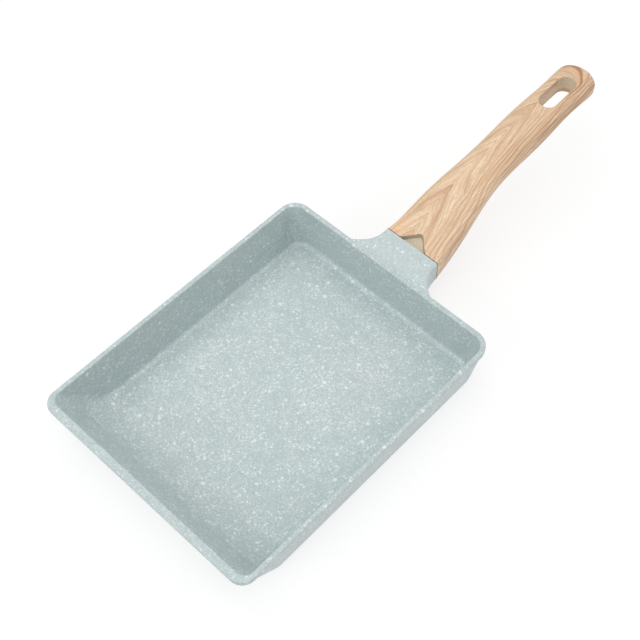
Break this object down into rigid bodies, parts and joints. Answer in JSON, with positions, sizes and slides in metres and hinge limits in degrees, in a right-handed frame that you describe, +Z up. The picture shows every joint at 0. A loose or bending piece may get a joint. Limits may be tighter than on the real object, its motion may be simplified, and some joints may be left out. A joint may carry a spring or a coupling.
{
  "type": "rectangular omelette pan",
  "caption": "Rectangular non-stick omelette pan with one sloped end wall, a flared neck and a wood-look handle with a hanging slot.",
  "frame": {"origin": "centre of the flat base on the surface that the pan stands on", "axes": "+X along the handle from the pan to its free end, +Z up out of the pan, Y across it"},
  "size_m": [0.369, 0.15, 0.062],
  "materials": {
    "stone_coating": "satin sage-green non-stick coating with fine white specks, on cast aluminium",
    "base_steel": "brushed",
    "wood_film": "satin wood-grain film on moulded plastic",
    "fixing_steel": "zinc-plated, satin"
  },
  "bodies": {
    "root": {"pan_body": "stone_coating", "induction_plate": "base_steel", "handle_grip": "wood_film", "handle_screw": "fixing_steel", "lock_washer": "fixing_steel"}
  },
  "joints": []
}
